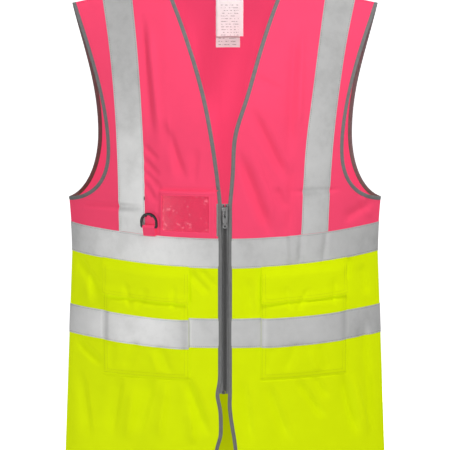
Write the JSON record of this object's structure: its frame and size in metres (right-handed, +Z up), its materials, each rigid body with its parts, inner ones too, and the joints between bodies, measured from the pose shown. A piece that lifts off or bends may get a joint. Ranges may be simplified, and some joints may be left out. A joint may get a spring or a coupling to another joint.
{
  "type": "high visibility vest",
  "caption": "Zip-front safety vest in two fluorescent colours with reflective hoops and braces, flapped pockets, a windowed card pocket, a hanging ring and bound edges.",
  "frame": {"origin": "midway between the two points where the neck edge meets the shoulder seams", "axes": "+Z up, the front faces -Y, +X is the wearer's left"},
  "size_m": [0.5604, 0.2479, 0.8461],
  "materials": {
    "pink_cloth": "plain knitted polyester, matt, fluorescent pink",
    "yellow_cloth": "plain knitted polyester, matt, fluorescent yellow",
    "reflective_tape": "silver-grey glass-bead retroreflective tape, satin",
    "grey_binding": "woven grey edge binding, matt",
    "zip_tape": "woven grey zip tape, matt",
    "zip_plastic": "dark grey moulded nylon",
    "zip_metal": "grey painted die-cast metal, satin",
    "clear_film": "clear flexible film, glossy",
    "black_plastic": "black moulded plastic",
    "hook_and_loop": "yellow hook and loop fastener",
    "label_cloth": "pale woven label, satin"
  },
  "bodies": {
    "back": {"back_upper_panel": "pink_cloth", "back_lower_panel": "yellow_cloth", "back_upper_hoop_tape": "reflective_tape", "back_lower_hoop_tape": "reflective_tape", "back_neck_binding": "grey_binding", "back_hem_binding": "grey_binding", "right_back_brace_tape": "reflective_tape", "left_back_brace_tape": "reflective_tape", "right_back_armhole_binding": "grey_binding", "left_back_armhole_binding": "grey_binding"},
    "neck_labels": {"main_neck_label": "label_cloth", "size_neck_label": "label_cloth"},
    "right_front": {"right_front_upper_panel": "pink_cloth", "right_front_lower_panel": "yellow_cloth", "right_front_brace_tape": "reflective_tape", "right_front_upper_hoop_tape": "reflective_tape", "right_front_lower_hoop_tape": "reflective_tape", "right_front_edge_binding": "grey_binding", "right_front_armhole_binding": "grey_binding", "right_front_hem_binding": "grey_binding", "right_pocket": "yellow_cloth", "right_pocket_tape": "reflective_tape", "right_pocket_loop_patch": "hook_and_loop", "right_zip_tape": "zip_tape", "right_zip_coil": "zip_plastic", "right_zip_top_stop": "zip_plastic", "zip_retainer_box": "zip_plastic", "id_pocket_frame": "pink_cloth", "id_pocket_window": "clear_film", "d_ring_loop": "pink_cloth"},
    "left_front": {"left_front_upper_panel": "pink_cloth", "left_front_lower_panel": "yellow_cloth", "left_front_brace_tape": "reflective_tape", "left_front_upper_hoop_tape": "reflective_tape", "left_front_lower_hoop_tape": "reflective_tape", "left_front_edge_binding": "grey_binding", "left_front_armhole_binding": "grey_binding", "left_front_hem_binding": "grey_binding", "left_pocket": "yellow_cloth", "left_pocket_tape": "reflective_tape", "left_pocket_loop_patch": "hook_and_loop", "left_zip_tape": "zip_tape", "left_zip_coil": "zip_plastic", "left_zip_top_stop": "zip_plastic", "zip_insertion_pin": "zip_plastic"},
    "right_flap": {"right_pocket_flap": "yellow_cloth", "right_flap_hook_patch": "hook_and_loop"},
    "left_flap": {"left_pocket_flap": "yellow_cloth", "left_flap_hook_patch": "hook_and_loop"},
    "slider": {"zip_slider": "zip_metal"},
    "puller": {"zip_puller": "zip_metal"},
    "ring": {"d_ring": "black_plastic"}
  },
  "joints": [
    {"name": "zip_slider_travel", "type": "slide", "parent": "right_front", "child": "slider", "axis": [0, 0.0624, -0.9981], "range_m": [0, 0.3035]},
    {"name": "zip_puller_swing", "type": "hinge", "parent": "slider", "child": "puller", "pos_m": [0, -0.13179, -0.36828], "axis": [-1, 0, 0], "range_deg": [0, 150]},
    {"name": "right_flap_lift", "type": "hinge", "parent": "right_front", "child": "right_flap", "pos_m": [-0.1332, -0.0971, -0.4638], "axis": [-0.9309, 0.3653, 0], "range_deg": [0, 120]},
    {"name": "left_flap_lift", "type": "hinge", "parent": "left_front", "child": "left_flap", "pos_m": [0.1332, -0.0971, -0.4638], "axis": [-0.9309, -0.3653, 0], "range_deg": [0, 120]},
    {"name": "d_ring_swing", "type": "hinge", "parent": "right_front", "child": "ring", "pos_m": [-0.12558, -0.10752, -0.39932], "axis": [0.931, -0.365, 0], "range_deg": [0, 150]},
    {"name": "neck_label_swing", "type": "hinge", "parent": "back", "child": "neck_labels", "pos_m": [0.007, 0.02545, -0.026], "axis": [-1, 0, 0], "range_deg": [-20, 80]},
    {"name": "right_front_opening", "type": "hinge", "parent": "back", "child": "right_front", "pos_m": [-0.279, 0, -0.4], "axis": [0, 0, -1], "range_deg": [0, 35]},
    {"name": "left_front_opening", "type": "hinge", "parent": "back", "child": "left_front", "pos_m": [0.279, 0, -0.4], "axis": [0, 0, 1], "range_deg": [0, 35]}
  ]
}
